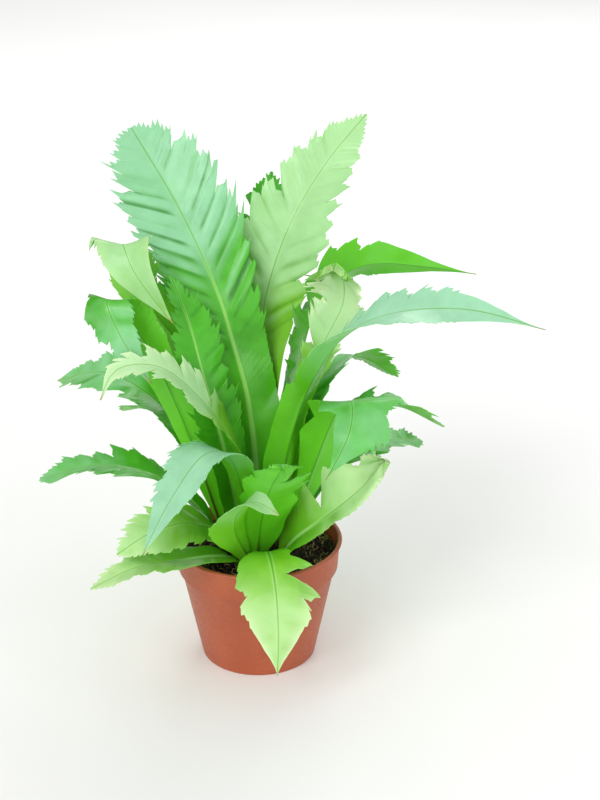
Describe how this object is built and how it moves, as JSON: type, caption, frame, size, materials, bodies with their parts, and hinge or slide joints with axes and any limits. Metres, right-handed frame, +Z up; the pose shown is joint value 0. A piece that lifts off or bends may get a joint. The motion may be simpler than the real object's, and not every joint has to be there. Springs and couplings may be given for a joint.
{
  "type": "potted fern",
  "caption": "Bird's nest fern with deeply cut, pointed fronds arching from a round terracotta-coloured plastic nursery pot of dark soil.",
  "frame": {"origin": "centre of the pot's flat underside, on the surface that the plant stands on", "axes": "+X to the right as seen from the front, +Y away from the viewer, +Z up along the pot's axis"},
  "size_m": [0.3429, 0.2422, 0.3686],
  "materials": {
    "pot_plastic": "smooth moulded terracotta-coloured plastic with a light sheen",
    "soil": "crumbly dark potting soil",
    "crown_scales": "dry brown papery scales",
    "frond_green": "glossy mid-green leaf with raised veins",
    "frond_pale": "satin pale yellow-green leaf",
    "frond_deep": "glossy dark green leaf"
  },
  "bodies": {
    "root": {"pot": "pot_plastic", "soil": "soil", "crown": "crown_scales", "frond_tall": "frond_green", "frond_light": "frond_pale", "frond_middle": "frond_deep", "frond_arch_right": "frond_green", "frond_cup": "frond_pale", "frond_dark_arch": "frond_deep", "frond_right_fold": "frond_green", "frond_low_right": "frond_pale", "frond_front": "frond_pale", "frond_short_front": "frond_green", "frond_cross": "frond_pale", "frond_left_fold": "frond_green", "frond_low_left": "frond_pale", "frond_low_left_under": "frond_pale", "frond_curl_left": "frond_pale", "frond_left_stand": "frond_green", "frond_left_bend": "frond_pale", "frond_left_drop": "frond_green", "frond_ring_1": "frond_deep", "frond_ring_2": "frond_green", "frond_ring_3": "frond_green", "frond_ring_4": "frond_deep", "frond_ring_5": "frond_green", "frond_ring_6": "frond_green", "frond_ring_7": "frond_deep", "frond_ring_8": "frond_green", "frond_ring_9": "frond_green"}
  },
  "joints": []
}
